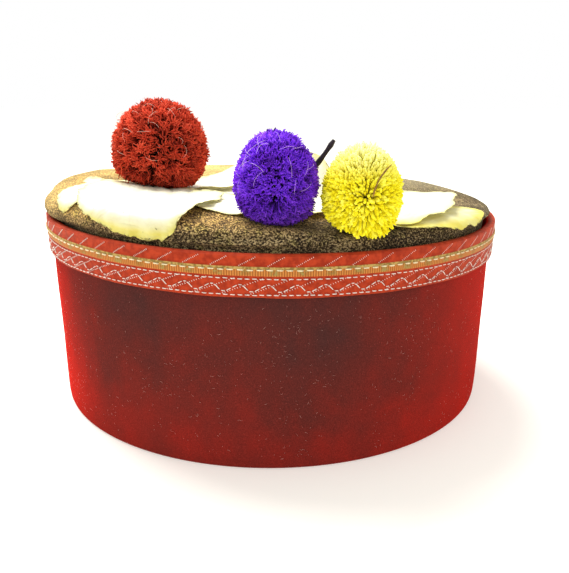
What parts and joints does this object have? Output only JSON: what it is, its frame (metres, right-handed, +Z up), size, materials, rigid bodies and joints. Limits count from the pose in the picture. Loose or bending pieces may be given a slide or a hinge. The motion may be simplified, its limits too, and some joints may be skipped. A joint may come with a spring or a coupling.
{
  "type": "pahadi cap",
  "caption": "Round woollen cap with a soft flat crown, a stiff velvet band edged with patterned ribbon, and wool pompoms on sprays of papery petals.",
  "frame": {"origin": "centre of the cap's footprint, on the surface that its open rim stands on", "axes": "+Z up through the crown, -Y towards the front that the picture shows, +X to the viewer's right"},
  "size_m": [0.1954, 0.1954, 0.1256],
  "materials": {
    "velvet": "crushed dark red velvet",
    "ribbon": "woven ribbon, red and gold with white stitches",
    "tweed": "brown and olive salt-and-pepper wool",
    "red_wool": "cut wool",
    "purple_wool": "cut wool",
    "yellow_wool": "cut wool",
    "petal": "thin papery winged seed, cream"
  },
  "bodies": {
    "root": {"velvet_band": "velvet", "ribbon": "ribbon", "crown": "tweed", "pompom_red": "red_wool", "pompom_purple": "purple_wool", "pompom_yellow": "yellow_wool", "petal_left": "petal", "petal_front_left": "petal", "petal_front": "petal", "petal_middle": "petal", "petal_middle_front": "petal", "petal_middle_raised": "petal", "petal_back": "petal", "petal_right": "petal", "petal_right_raised": "petal"}
  },
  "joints": []
}
